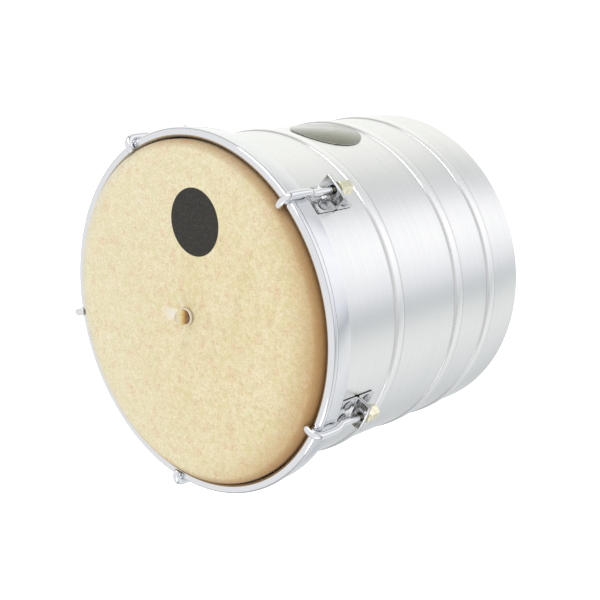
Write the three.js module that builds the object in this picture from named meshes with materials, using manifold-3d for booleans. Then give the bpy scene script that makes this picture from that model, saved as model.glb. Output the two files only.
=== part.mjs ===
// A cuica: a friction drum with a rolled aluminium shell, a goat skin head and a rubbing stick
// that hangs inside from the middle of the skin. Millimetres, +Z up. The drum stands on its flat
// open end at z = 0 with the head on top, and its axis is the Z axis.
import * as THREE from 'three';
import { mergeVertices } from 'three/addons/utils/BufferGeometryUtils.js';
import Module from 'manifold-3d';

const wasm = await Module();
wasm.setup();

// What the whole drum shares.
const gap = 0.3;                    // air between pieces that touch on the real drum
const turns = 60;                   // flat facets round the drum
const hooks = 5;                    // tuning hooks, and as many brackets, nuts and washers
const firstHook = 9;                // degrees from +X to the first hook, so a facet faces it
const up = 90;                      // directions in a cross-section, in degrees from outward
const down = -90;
const inward = -180;
const drillPast = 3;                // how far a hole's pin runs past the sheet

// Shell.
const shell = {
  radius: 101.5,                    // outside of the rolled sheet
  wall: 1.5,
  top: 190.4,                       // highest point of the bearing edge
  edgeRoll: 3,                      // outer radius of the bearing edge, rolled inward
  edgeRollEnd: 165,                 // degrees that the roll turns through
  hemWall: 3,                       // folded double at the open end
  hemHeight: 6,
  hemBreak: 0.5,                    // rounding of the hem's corners
  beads: [30.1, 63.9, 121.4],       // heights of the raised ribs
  beadHalf: 4,                      // half the width of a rib
  beadRise: 1.2,
  beadRound: 1.4,                   // exponent of the rib's arch: more is narrower
};

// Head: skin lapped round a hidden flesh hoop.
const skin = {
  thick: 0.8,
  lapEnd: 115,                      // degrees round the flesh hoop where the lap stops
  flare: 6,                         // from the neck to where the flat skin starts
  flareSteps: [[0, 1.2], [0.5, 0.45], [1.8, 0.1]],  // out from the neck, up from the flat
};
const flesh = { radius: 1.35, slack: 0.2, sides: 6 };

// Counterhoop: a round wire on the upper edge of a flat band.
const wire = {
  radius: 3, sides: 8,
  outward: 2.25,                    // its circle beyond the flesh hoop's
  below: 5.4,                       // its middle below the top of the shell
};
const band = {
  inset: 0.6,                       // its inside beyond the wire's circle
  wall: 1.4,
  drop: 12.5,                       // its lower edge below the middle of the wire
  edgeBreak: 0.3,
};

// Stick, its ball end, and the tie round the skin's neck.
const stick = {
  ball: 3.3,
  aboveSkin: 4.9,                   // ball centre over the top of the skin
  neck: 1.6,
  radius: 3,
  length: 180,
  taperTop: 5.5,                    // where the stick starts to thin, below the skin's top
  taperLong: 3,
  nodes: [74, 132],                 // heights of the cane's two joints
  nodeRise: 0.4,
  nodeHalf: 1.6,
  endBreak: 0.6,
  sides: 12,
};
const neckSlack = 1;                // the skin's neck round the stick's, so the stick can sway
const tie = { section: 0.6, sides: 6, around: 20, drop: 2.2 };  // drop is below the ball's middle

// Hooks, washers and nuts.
const rod = { radius: 2.3, sides: 8, steps: 20 };
const hook = {
  shankOut: 7.8,                    // rod centre line outside the shell
  bowTop: 4.5, bowLow: 8.5,         // straight part of the bow, below the middle of the wire
  crank: 7,                         // where the shank starts, below the band
  tipPast: 26.5,                    // degrees that the crook reaches past the top of the wire
  bowStart: 10,                     // degrees above outward where the crook ends
  below: 1.2,                       // rod end below the nut
};
const washer = { radius: 4.5, high: 1, sides: 12 };
const nut = { flats: 8, high: 8, cornerCut: 0.5, sides: 6 };

// Brackets: one sheet folded double, with a flange above and below.
const bracket = {
  sheet: 1.1,
  seam: 0.4,                        // slit between the two layers
  z: 150,                           // middle of the upright
  holeSlack: 0.6,                   // hole round the rod
  lip: 0.8,                         // sheet left outside the hole
  wide: 17,
  flange: 14,                       // height of a flange from the middle of the upright
  bend: 0.8,
  seamEnd: 0.5,                     // closed part of the fold behind its outer sheet
  holeSides: 12,
};
const rivet = {
  shank: 1.6, head: 3.1, headHigh: 1.4, tail: 2.4, tailHigh: 1, sides: 8,
  across: 4.8,                      // rivet to the middle of the bracket
  up: 8.2,                          // rivet to the middle of the upright
  tailShare: 0.8,                   // the tail's end over its foot
  domeShare: 0.75, domeHighShare: 0.7,  // where the head's flank turns into its crown
};

// Badge plate: a plain round foil on the shell.
const badge = {
  angle: 259, z: 92, halfWide: 22.2, halfHigh: 22.2, thick: 0.5, around: 28,
  ringShares: [0.5, 1],
};

// Heights and radii that follow from the values above.
const rad = THREE.MathUtils.degToRad;
const halfFacet = Math.PI / turns;
const flat = Math.cos(halfFacet);                 // facet middle over facet corner
const rollCentre = { r: shell.radius - shell.edgeRoll, z: shell.top - shell.edgeRoll };
const shellInner = shell.radius - shell.wall;
const skinTop = shell.top + gap + skin.thick;
const lapIn = flesh.radius + flesh.slack;
const lapOut = lapIn + skin.thick;
const fleshR = shell.radius + gap + lapOut;
const wireR = fleshR + wire.outward;
const wireZ = shell.top - wire.below;
const fleshZ = wireZ - Math.sqrt((wire.radius + gap + lapOut) ** 2 - wire.outward ** 2);
const bandIn = wireR + band.inset;
const bandLow = wireZ - band.drop;
const bandTop = wireZ - Math.sqrt(wire.radius ** 2 - band.inset ** 2) - gap;
const ballZ = skinTop + stick.aboveSkin;
const knobIn = stick.ball + gap;
const knobOut = knobIn + skin.thick;
const neckIn = stick.neck + neckSlack;
const neckOut = neckIn + skin.thick;
const tieR = Math.sqrt(knobOut ** 2 - tie.drop ** 2) + gap + tie.section;
const shankR = shell.radius + hook.shankOut;
const crookR = wire.radius + gap + rod.radius;    // rod centre line round the wire
const bowR = wireR + crookR;
const rodHole = rod.radius + bracket.holeSlack;
const rodBore = rod.radius + gap;
const plateHalf = bracket.sheet + bracket.seam / 2;
const plateOut = shankR + rodHole + bracket.lip;
const flangeIn = shell.radius * flat + gap;
const flangeOut = flangeIn + bracket.sheet;
const rivetHole = rivet.shank + gap;
const washerTop = bracket.z - plateHalf - gap;
const nutTop = washerTop - washer.high - gap;
const nutLow = nutTop - nut.high;

// Helpers.
const arc = (r, z, radius, from, to, count) =>
  Array.from({ length: count + 1 }, (_, i) => {
    const a = rad(from + (to - from) * i / count);
    return [r + radius * Math.cos(a), z + radius * Math.sin(a)];
  });

function lathe(profile, segments, closed = true) {
  const points = profile.map(([r, z]) => new THREE.Vector2(r, z));
  if (closed) points.push(points[0].clone());
  return new THREE.LatheGeometry(points, segments).rotateX(Math.PI / 2);
}

function ring(circle, z, section, sides, around) {
  return new THREE.TorusGeometry(circle, section, sides, around).translate(0, 0, z);
}

const sameSpot = 1e-4;              // corners closer than this are one corner
function toManifold(geometry) {
  const g = geometry.clone();
  g.deleteAttribute('normal');
  g.deleteAttribute('uv');
  const m = mergeVertices(g, sameSpot);
  return new wasm.Manifold(new wasm.Mesh({
    numProp: 3,
    vertProperties: new Float32Array(m.attributes.position.array),
    triVerts: new Uint32Array(m.index.array),
  }));
}

function fromManifold(solid) {
  const m = solid.getMesh();
  const g = new THREE.BufferGeometry();
  g.setAttribute('position', new THREE.BufferAttribute(m.vertProperties, 3));
  g.setIndex(new THREE.BufferAttribute(m.triVerts, 1));
  g.computeVertexNormals();
  return g;
}

const drill = (geometry, tools) => fromManifold(
  tools.reduce((body, tool) => body.subtract(toManifold(tool)), toManifold(geometry)));

// A pin along X with its axis at height z and sideways place y.
function pinX(radius, from, to, y, z, sides) {
  return new THREE.CylinderGeometry(radius, radius, to - from, sides)
    .rotateZ(-Math.PI / 2).translate((from + to) / 2, y, z);
}

function pinZ(radius, from, to, x, sides) {
  return new THREE.CylinderGeometry(radius, radius, to - from, sides)
    .rotateX(Math.PI / 2).translate(x, 0, (from + to) / 2);
}

const hookAngle = k => rad(firstHook + k * 360 / hooks);
const rivetSpots = [-1, 1].flatMap(s => [-1, 1].map(u =>
  ({ y: s * rivet.across, z: bracket.z + u * rivet.up })));

// Shell.
function shellGeometry() {
  const { radius: R, wall, hemWall, hemHeight, hemBreak: c, beads, beadHalf } = shell;
  const inner = shellInner;
  // A rib is a low arch on the outside, and the same arch on the inside.
  const rib = (r, z, count) => Array.from({ length: count + 1 }, (_, i) => {
    const t = i / count;
    return [r + shell.beadRise * Math.sin(Math.PI * t) ** shell.beadRound,
      z + beadHalf * (2 * t - 1)];
  });
  const end = shell.edgeRollEnd;
  const profile = [
    [R - hemWall + c, 0], [R - c, 0], [R, c],
    ...beads.flatMap(z => rib(R, z, 4)),
    ...arc(rollCentre.r, rollCentre.z, shell.edgeRoll, 0, end, 5),
    ...arc(rollCentre.r, rollCentre.z, shell.edgeRoll - wall, 0, end, 3).reverse(),
    ...[...beads].reverse().flatMap(z => rib(inner, z, 2).reverse()),
    [inner, hemHeight + hemWall - wall], [R - hemWall, hemHeight], [R - hemWall, c],
  ];
  const holes = [];
  for (let k = 0; k < hooks; k++) {
    for (const s of rivetSpots) {
      holes.push(pinX(rivetHole, inner - drillPast, R + drillPast, s.y, s.z, rivet.sides)
        .rotateZ(hookAngle(k)));
    }
  }
  return drill(lathe(profile, turns), holes);
}

// Where a ball of radius r meets a neck of radius hole below it.
const neckAngle = (r, hole) => down + THREE.MathUtils.radToDeg(Math.asin(hole / r));

// Head.
function skinGeometry() {
  const t = skin.thick;
  const { edgeRoll } = shell;
  const flare = (hole, z) => skin.flareSteps.map(([out, rise]) => [hole + out, z + rise]);
  const knob = (r, hole, count) => arc(0, ballZ, r, up, neckAngle(r, hole), count);
  const inside = [
    ...knob(knobIn, neckIn, 4),
    ...flare(neckIn, skinTop - t),
    [neckIn + skin.flare, skinTop - t],
    ...arc(rollCentre.r, rollCentre.z, edgeRoll + gap, up, 0, 3),
    ...arc(fleshR, fleshZ, lapOut, inward, skin.lapEnd, 6),
  ];
  const outside = [
    ...arc(fleshR, fleshZ, lapIn, skin.lapEnd, inward, 6),
    ...arc(rollCentre.r, rollCentre.z, edgeRoll + gap + t, 0, up, 4),
    [neckIn + skin.flare, skinTop],
    ...flare(neckOut, skinTop).reverse(),
    ...knob(knobOut, neckOut, 4).reverse(),
  ];
  inside[0][0] = 0;
  outside[outside.length - 1][0] = 0;
  return lathe([...inside, ...outside], turns, false);
}

function stickGeometry() {
  const low = ballZ + stick.ball - stick.length;
  const { radius: r, nodeRise, nodeHalf, endBreak, neck } = stick;
  const ballArc = arc(0, ballZ, stick.ball, neckAngle(stick.ball, neck), up, 5);
  ballArc[ballArc.length - 1][0] = 0;
  const profile = [
    [0, low], [r - endBreak, low], [r, low + endBreak],
    ...stick.nodes.flatMap(z => [[r, z - nodeHalf], [r + nodeRise, z], [r, z + nodeHalf]]),
    [r, skinTop - stick.taperTop], [neck, skinTop - stick.taperTop + stick.taperLong],
    ...ballArc,
  ];
  return lathe(profile, stick.sides, false);
}

// Counterhoop band.
function bandGeometry() {
  const c = band.edgeBreak;
  const outer = bandIn + band.wall;
  return lathe([
    [bandIn + c, bandLow], [outer - c, bandLow], [outer, bandLow + c],
    [outer, bandTop], [bandIn, bandTop], [bandIn, bandLow + c],
  ], turns);
}

// One bracket, over +X.
function bracketGeometry() {
  const { z, flange, bend: b, seamEnd, seam, wide } = bracket;
  const half = [
    [flangeIn, z - flange], [flangeOut, z - flange], [flangeOut, z - plateHalf - b],
    [flangeOut + b, z - plateHalf], [plateOut - b, z - plateHalf], [plateOut, z - plateHalf + b],
  ];
  const slit = [
    [flangeIn, z + seam / 2 + b], [flangeIn + b, z + seam / 2],
    [plateOut - bracket.sheet - seamEnd, z + seam / 2],
  ];
  const mirror = list => list.map(([x, y]) => [x, 2 * z - y]).reverse();
  const outline = [...half, ...mirror(half), ...slit, ...mirror(slit)];
  const sheet = new THREE.ExtrudeGeometry(
    new THREE.Shape(outline.map(([x, y]) => new THREE.Vector2(x, y))),
    { depth: wide, bevelEnabled: false, steps: 1 },
  ).rotateX(Math.PI / 2).translate(0, wide / 2, 0);
  return drill(sheet, [
    pinZ(rodHole, z - flange, z + flange, shankR, bracket.holeSides),
    ...rivetSpots.map(s =>
      pinX(rivetHole, flangeIn - drillPast, flangeOut + drillPast, s.y, s.z, rivet.sides)),
  ]);
}

// One rivet, with its head towards +X.
function rivetGeometry() {
  // The tail stays clear of the next facet of the wall, which slants in behind it.
  const lean = (rivet.across + rivet.tail) * Math.tan(halfFacet) / 2;
  const tailTop = shellInner * flat - gap - lean;
  const headFoot = flangeOut + gap;
  const profile = [
    [0, tailTop - rivet.tailHigh], [rivet.tail * rivet.tailShare, tailTop - rivet.tailHigh],
    [rivet.tail, tailTop], [rivet.shank, tailTop], [rivet.shank, headFoot],
    [rivet.head, headFoot],
    [rivet.head * rivet.domeShare, headFoot + rivet.headHigh * rivet.domeHighShare],
    [0, headFoot + rivet.headHigh],
  ];
  return lathe(profile, rivet.sides, false).rotateY(Math.PI / 2);
}

// One hook, over +X.
function hookGeometry() {
  const bowLow = wireZ - hook.bowLow;
  const crank = bandLow - hook.crank;
  const path = new THREE.CatmullRomCurve3([
    ...arc(wireR, wireZ, crookR, up + hook.tipPast, hook.bowStart, 6),
    [bowR, wireZ - hook.bowTop], [bowR, bowLow],
    [(bowR + shankR) / 2, (bowLow + crank) / 2],
    [shankR, crank], [shankR, bracket.z], [shankR, nutLow - hook.below],
  ].map(([r, z]) => new THREE.Vector3(r, 0, z)), false, 'centripetal');
  const section = new THREE.Shape(Array.from({ length: rod.sides }, (_, i) => {
    const a = 2 * Math.PI * i / rod.sides;
    return new THREE.Vector2(rod.radius * Math.cos(a), rod.radius * Math.sin(a));
  }));
  return new THREE.ExtrudeGeometry(section, {
    steps: rod.steps, extrudePath: path, bevelEnabled: false,
  });
}

function washerGeometry() {
  return drill(
    pinZ(washer.radius, washerTop - washer.high, washerTop, shankR, washer.sides),
    [pinZ(rodBore, nutLow, bracket.z, shankR, rod.sides)]);
}

function nutGeometry() {
  const corner = nut.flats / 2 / Math.cos(Math.PI / nut.sides);
  const c = nut.cornerCut;
  const profile = [
    [0, nutLow], [corner - c, nutLow], [corner, nutLow + c],
    [corner, nutTop - c], [corner - c, nutTop], [0, nutTop],
  ];
  const body = lathe(profile, nut.sides, false).translate(shankR, 0, 0);
  return drill(body, [pinZ(rodBore, nutLow - nut.high, bracket.z, shankR, rod.sides)]);
}

// Badge plate, bent to the shell.
function badgeGeometry() {
  const { halfWide, halfHigh, thick, around } = badge;
  const foot = shell.radius + gap;
  const points = [];
  const spot = (radius, u, v) => {
    const a = rad(badge.angle) + u * halfWide / shell.radius;
    points.push(radius * Math.cos(a), radius * Math.sin(a), badge.z + v * halfHigh);
  };
  const layer = radius => {
    spot(radius, 0, 0);
    for (const share of badge.ringShares) {
      for (let i = 0; i < around; i++) {
        const a = 2 * Math.PI * i / around;
        spot(radius, share * Math.cos(a), share * Math.sin(a));
      }
    }
  };
  layer(foot + thick);
  layer(foot);
  const count = 1 + badge.ringShares.length * around;
  const index = [];
  for (let i = 0; i < around; i++) {
    const j = (i + 1) % around;
    const a = [1 + i, 1 + j, 1 + around + i, 1 + around + j];
    index.push(0, a[0], a[1], a[0], a[2], a[3], a[0], a[3], a[1]);
    const b = a.map(v => v + count);
    index.push(count, b[1], b[0], b[0], b[3], b[2], b[0], b[1], b[3]);
    index.push(a[2], b[2], b[3], a[2], b[3], a[3]);
  }
  const g = new THREE.BufferGeometry();
  g.setAttribute('position', new THREE.BufferAttribute(new Float32Array(points), 3));
  g.setIndex(index);
  g.computeVertexNormals();
  return g;
}

// Finishes.
const finish = {
  aluminium: { color: 0xdfe0e2, metalness: 0.9, roughness: 0.35 },
  chrome: { color: 0xd4d6da, metalness: 1, roughness: 0.12 },
  rivets: { color: 0xb9bbc0, metalness: 0.9, roughness: 0.4 },
  zinc: { color: 0xd8cd9a, metalness: 0.8, roughness: 0.4 },
  hide: { color: 0xe6d7b0, metalness: 0, roughness: 0.75 },
  cane: { color: 0xc79f63, metalness: 0, roughness: 0.6 },
  thread: { color: 0xe9e2cf, metalness: 0, roughness: 0.9 },
  foil: { color: 0x44464a, metalness: 0.6, roughness: 0.45 },
};

const drum = new THREE.Group();
drum.name = 'cuica';
function add(name, geometry, look) {
  const mesh = new THREE.Mesh(geometry, new THREE.MeshStandardMaterial(finish[look]));
  mesh.name = name;
  drum.add(mesh);
}

add('shell', shellGeometry(), 'aluminium');
add('badge_plate', badgeGeometry(), 'foil');
add('skin', skinGeometry(), 'hide');
add('flesh_hoop', ring(fleshR, fleshZ, flesh.radius, flesh.sides, turns), 'rivets');
add('stick', stickGeometry(), 'cane');
add('tie', ring(tieR, ballZ - tie.drop, tie.section, tie.sides, tie.around), 'thread');
add('hoop_wire', ring(wireR, wireZ, wire.radius, wire.sides, turns), 'chrome');
add('hoop_band', bandGeometry(), 'chrome');

const sets = [
  ['bracket', bracketGeometry(), 'chrome'],
  ['hook', hookGeometry(), 'chrome'],
  ['washer', washerGeometry(), 'chrome'],
  ['nut', nutGeometry(), 'zinc'],
];
for (const [name, geometry, look] of sets) {
  for (let k = 0; k < hooks; k++) add(`${name}_${k + 1}`, geometry.clone().rotateZ(hookAngle(k)), look);
}
const oneRivet = rivetGeometry();
for (let k = 0; k < hooks; k++) {
  rivetSpots.forEach((s, i) => add(`rivet_${k + 1}_${i + 1}`,
    oneRivet.clone().translate(0, s.y, s.z).rotateZ(hookAngle(k)), 'rivets'));
}

export default drum;
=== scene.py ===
# %% [markdown]
# # A cuica, piece by piece
# A cuica is a friction drum. A thin stick hangs from the middle of the skin, inside the shell, and
# the player rubs it with a damp cloth while a finger presses the skin from outside. This lesson
# dresses a finished engineering model of one. The model gives the frame, so every piece that is made
# here goes to the place where the real one sits, in metres, with +Z along the drum's axis.

# %% Load the frame
import math
import bpy
from mathutils import Matrix, Vector


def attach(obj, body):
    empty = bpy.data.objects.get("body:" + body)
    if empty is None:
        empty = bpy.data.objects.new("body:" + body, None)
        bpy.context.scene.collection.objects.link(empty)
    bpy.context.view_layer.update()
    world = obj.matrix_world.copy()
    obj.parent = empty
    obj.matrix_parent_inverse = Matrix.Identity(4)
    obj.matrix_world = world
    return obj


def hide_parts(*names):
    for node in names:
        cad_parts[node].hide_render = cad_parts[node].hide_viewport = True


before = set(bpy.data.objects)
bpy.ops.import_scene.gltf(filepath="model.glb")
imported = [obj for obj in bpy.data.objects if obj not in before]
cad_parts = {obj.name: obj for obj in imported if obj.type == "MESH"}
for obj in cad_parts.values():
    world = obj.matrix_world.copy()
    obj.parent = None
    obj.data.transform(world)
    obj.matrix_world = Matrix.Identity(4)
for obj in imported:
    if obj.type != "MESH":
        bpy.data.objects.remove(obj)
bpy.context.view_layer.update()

# %% [markdown]
# ## The camera
# The photograph looks down on the head from the side, and the camera is rolled so far that the
# drum's axis lies nearly level in the picture. Three directions say this better than three angles:
# where the lens points, which way is right in the picture, and so which way is up. They come from
# matching the outlines, the ribs, the counterhoop and the hooks with the photograph.

# %% Camera
look = Vector((0.65813, 0.25234, -0.70937))
right = Vector((-0.73456, 0.00846, -0.67849))
camera_data = bpy.data.cameras.new("camera")
camera_data.lens = 71.388                     # on a 36 mm wide sensor
camera = bpy.data.objects.new("camera", camera_data)
bpy.context.collection.objects.link(camera)
turn_to = Matrix((right, right.cross(look), -look)).transposed().to_4x4()
camera.matrix_world = Matrix.Translation((-0.50375, -0.18375, 0.63838)) @ turn_to
bpy.context.scene.camera = camera
print("camera is", round(camera.location.length, 3), "m from the foot of the axis")

# %% [markdown]
# ## Drawing a section and spinning it
# Most of a drum is round. A maker turns such a piece on a lathe or rolls it between wheels, and the
# same thought works here: draw half of the section as a line of points, then spin it round the axis.
# A plane whose corners are merged into one gives the first point, and each further point is extruded
# from the last. Sizes are written in millimetres, as on a drawing, and scaled once.

# %% Millimetres and arcs
MM = 0.001
AIR = 0.3                                     # between pieces that touch on the real drum

def arc(x, z, radius, start, end, count):
    """Points on an arc in the section, with angles in degrees from outward."""
    angles = [math.radians(start + (end - start) * i / count) for i in range(count + 1)]
    return [(x + radius * math.cos(a), z + radius * math.sin(a)) for a in angles]

# %% Start a piece
def start_piece(name, primitive, **settings):
    """Adds a primitive with nothing else selected, names it and applies its place."""
    bpy.ops.object.select_all(action="DESELECT")
    primitive(**settings)
    piece = bpy.context.object
    piece.name = piece.data.name = name
    bpy.ops.object.transform_apply(location=True, rotation=True)
    return piece

# %% Draw a section
def draw(name, points):
    """Leaves a new mesh in edit mode: a line through the points, which are (outward, up) in mm."""
    x, z = points[0]
    piece = start_piece(name, bpy.ops.mesh.primitive_plane_add, size=MM, location=(x * MM, 0, z * MM))
    bpy.ops.object.mode_set(mode="EDIT")
    bpy.ops.mesh.select_mode(type="VERT")
    bpy.ops.mesh.merge(type="CENTER")
    for nx, nz in points[1:]:
        step = ((nx - x) * MM, 0, (nz - z) * MM)
        bpy.ops.mesh.extrude_vertices_move(TRANSFORM_OT_translate={"value": step})
        x, z = nx, nz
    return piece

# %% Finish and turn
TINY = 1e-6                                   # a thousandth of a millimetre

def tidy_mesh():
    """Merges what lies in one place and turns all faces outward. Works in edit mode."""
    bpy.ops.mesh.select_all(action="SELECT")
    bpy.ops.mesh.remove_doubles(threshold=TINY)
    bpy.ops.mesh.normals_make_consistent(inside=False)

def close_ends():
    """Fills every open ring of the mesh, and tidies it."""
    bpy.ops.mesh.select_all(action="SELECT")
    bpy.ops.mesh.fill_holes(sides=0)
    tidy_mesh()

def only(piece):
    """Back to object mode, with one piece selected and nothing else."""
    if bpy.context.mode != "OBJECT":
        bpy.ops.object.mode_set(mode="OBJECT")
    bpy.ops.object.select_all(action="DESELECT")
    piece.select_set(True)
    bpy.context.view_layer.objects.active = piece

def smooth(piece, angle=35):
    """Shades a piece smooth, with edges sharper than the angle left crisp."""
    only(piece)
    bpy.ops.object.shade_smooth_by_angle(angle=math.radians(angle))

def turned(name, section, steps=256, closed=True, angle=35):
    """Spins a section once round the Z axis."""
    piece = draw(name, [*section, section[0]] if closed else section)
    bpy.ops.mesh.select_all(action="SELECT")
    bpy.ops.mesh.spin(steps=steps, angle=2 * math.pi, center=(0, 0, 0), axis=(0, 0, 1))
    tidy_mesh()
    smooth(piece, angle)
    print(name, "has", len(piece.data.polygons), "faces")
    return piece

# %% Pick points
def pick(piece, rule):
    """Leaves a piece in edit mode with only the points selected whose place fits the rule."""
    only(piece)
    bpy.ops.object.mode_set(mode="EDIT")
    bpy.ops.mesh.select_mode(type="VERT")
    bpy.ops.mesh.select_all(action="DESELECT")
    bpy.ops.object.mode_set(mode="OBJECT")
    for v in piece.data.vertices:
        v.select = rule(v.co)
    bpy.ops.object.mode_set(mode="EDIT")

# %% Apply modifiers
def modified(piece, kind, **settings):
    """Adds one modifier with its settings and applies it."""
    only(piece)
    modifier = piece.modifiers.new(kind.lower(), kind)
    for name, value in settings.items():
        setattr(modifier, name, value)
    bpy.ops.object.modifier_apply(modifier=modifier.name)
    return piece

def cut(piece, tool, operation="DIFFERENCE"):
    """A boolean with a tool piece, which is then thrown away."""
    modified(piece, "BOOLEAN", object=tool, operation=operation, solver="EXACT")
    bpy.data.objects.remove(tool)
    return piece

def pin(name, radius, low, high, x, sides=64):
    """An upright bar or cutting pin, in mm."""
    return start_piece(name, bpy.ops.mesh.primitive_cylinder_add, vertices=sides, radius=radius * MM,
                       depth=(high - low) * MM, location=(x * MM, 0, (low + high) / 2 * MM))

# %% [markdown]
# ## The shell
# A strip of aluminium sheet is rolled into a cylinder. Wheels press three ribs into it, which keep
# it round, its upper edge is rolled inward to give the skin a soft bearing edge, and the open end is
# folded over so that nobody is cut by it. The rib runs through the whole sheet, so the inside has it
# as well. One spun section holds all of that.

# %% Shell
RADIUS, WALL, TOP = 101.5, 1.5, 190.4
INNER = RADIUS - WALL
EDGE = 3                                      # outer radius of the rolled bearing edge
HEM, HEM_TOP, HEM_ROUND, HEM_BREAK = 3, 6, 1, 0.3  # the open end's fold: thickness and height first
RIBS = [30.1, 63.9, 121.4]                    # heights above the open end
RIB_HALF, RIB_RISE, RIB_FLAT = 4, 1.2, 3.5    # half the width, the height, how flat the crown is

def rib(radius, z, count=22):
    """The bead that the wheel presses into the sheet: a flat crown with steep feet."""
    shares = [-math.cos(math.pi * i / count) for i in range(count + 1)]
    return [(radius + RIB_RISE * (1 - abs(s) ** RIB_FLAT), z + RIB_HALF * s) for s in shares]

edge_x, edge_z = RADIUS - EDGE, TOP - EDGE    # middle of the bearing edge's roll
hem_in = RADIUS - HEM
outside = [p for z in RIBS for p in rib(RADIUS, z)]
inside = [p for z in reversed(RIBS) for p in reversed(rib(INNER, z))]
shell_sheet = turned("shell_sheet", [
    *arc(hem_in + HEM_ROUND, HEM_ROUND, HEM_ROUND, 180, 270, 5),
    *arc(RADIUS - HEM_ROUND, HEM_ROUND, HEM_ROUND, 270, 360, 5), *outside,
    *arc(edge_x, edge_z, EDGE, 0, 165, 16), *arc(edge_x, edge_z, EDGE - WALL, 165, 0, 12), *inside,
    (INNER, HEM_TOP + HEM_BREAK), (INNER - HEM_BREAK, HEM_TOP),
    (hem_in + HEM_BREAK, HEM_TOP), (hem_in, HEM_TOP - HEM_BREAK)], steps=288)

# %% [markdown]
# ## The counterhoop
# The hoop that pulls the skin down is a round wire welded on top of a flat band, and both are
# chromed together. The wire gives the hooks something smooth to hang on. The band goes a little way
# up into the wire, as the weld does.

# %% Counterhoop
WIRE_R, WIRE_Z, WIRE = 106.4, 185.0, 3.0
BAND_IN, BAND_OUT, BAND_LOW, BAND_TOP, BAND_BREAK = 107.0, 108.4, 172.5, 182.6, 0.3
hoop_rod = turned("hoop_rod", arc(WIRE_R, WIRE_Z, WIRE, 0, 345, 23), steps=288, angle=60)
hoop_strip = turned("hoop_strip", [
    (BAND_IN + BAND_BREAK, BAND_LOW), (BAND_OUT - BAND_BREAK, BAND_LOW),
    (BAND_OUT - 0.07, BAND_LOW + 0.09), (BAND_OUT, BAND_LOW + BAND_BREAK), (BAND_OUT, BAND_TOP),
    (BAND_IN, BAND_TOP - BAND_BREAK), (BAND_IN, BAND_LOW + BAND_BREAK),
    (BAND_IN + 0.07, BAND_LOW + 0.09)], steps=288)

# %% [markdown]
# The wire is bent from a straight length and closed with a butt weld, ground smooth but never quite
# gone. Its loops near the joint are fattened by a tenth of a millimetre. The weld sits at the back,
# between two hooks.

# %% Butt weld
JOINT = math.radians(333)
for wide in (2.0, 1.2):
    pick(hoop_rod, lambda co: abs(math.remainder(math.atan2(co.y, co.x) - JOINT, 2 * math.pi))
         < math.radians(wide))
    bpy.ops.transform.shrink_fatten(value=0.06 * MM)
smooth(hoop_rod, 60)
print("wire at the weld, top in mm:", round(max(v.co.z for v in hoop_rod.data.vertices) / MM, 3))

# %% [markdown]
# ## The head
# The goat skin is soaked, lapped round a hidden flesh hoop and dried over the bearing edge. In its
# middle the skin is pushed up over the ball end of the stick and tied round the neck, which gathers
# it in small pleats. The outer face of the skin is drawn and spun as one thin sheet, the pleats and
# the slow waves of a natural hide are pushed into it, and only then does it get its thickness.

# %% Skin sheet
SKIN = 0.8
SKIN_TOP = TOP + AIR + SKIN
BALL = 3.3                                    # radius of the stick's ball end, inside the knob
BALL_Z, KNOB, NECK = SKIN_TOP + 4.9, BALL + AIR + SKIN, 3.4
FLESH_R, FLESH_Z, FLESH, LAP = 104.15, 179.846, 1.35, 1.55  # hidden hoop, and the skin round it
neck_angle = -90 + math.degrees(math.asin(NECK / KNOB))
knob_arc = arc(0, BALL_Z, KNOB, 90, neck_angle, 16)
knob_arc[0] = (0, BALL_Z + KNOB)
flare = [(NECK, 193.1), (3.5, 192.6), (3.85, 192.1), (4.5, 191.8), (5.6, 191.64), (7.2, 191.54)]
flats = [(r, SKIN_TOP) for r in (9.4, 12, 15, 19, 24, 30, 37, 45, 54, 63, 72, 80, 87, 93)]
skin_hide = turned("skin_hide", [
    *knob_arc, *flare, *flats, *arc(edge_x, edge_z, EDGE + AIR + SKIN, 90, 0, 14),
    (FLESH_R - LAP, 183.5), *arc(FLESH_R, FLESH_Z, LAP, 180, 475, 24)],
    steps=360, closed=False, angle=60)
# The faces come out of the spin in any order, so the whole sheet tells which side is up.
facing = sum(face.normal.z * face.area for face in skin_hide.data.polygons)
if facing < 0:
    skin_hide.data.flip_normals()

# %% Pleats round the neck
def weight(piece, name, rule):
    """A vertex group whose weight at each point is rule(distance from axis, angle, height) in mm."""
    group = piece.vertex_groups.new(name=name)
    for v in piece.data.vertices:
        x, y, z = v.co / MM
        group.add([v.index], max(0, min(1, rule(math.hypot(x, y), math.atan2(y, x), z))), "REPLACE")
    return name

PLEAT_IN, PLEAT_LONG, PLEAT_TOP = 3.3, 8, 193

def pleat(r, a, z):
    """Eight gathered folds, sharp on top, strongest next to the neck."""
    if z > PLEAT_TOP or r < PLEAT_IN or r > PLEAT_IN + PLEAT_LONG:
        return 0
    fold = abs(math.cos(4 * a + 0.4 * math.sin(3 * a))) ** 3
    return fold * max(0, 1 - (r - PLEAT_IN) / PLEAT_LONG) ** 1.6 * (0.55 + 0.45 * math.cos(a))

modified(skin_hide, "DISPLACE", vertex_group=weight(skin_hide, "pleats", pleat), direction="Z",
         strength=1.0 * MM, mid_level=0)

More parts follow.
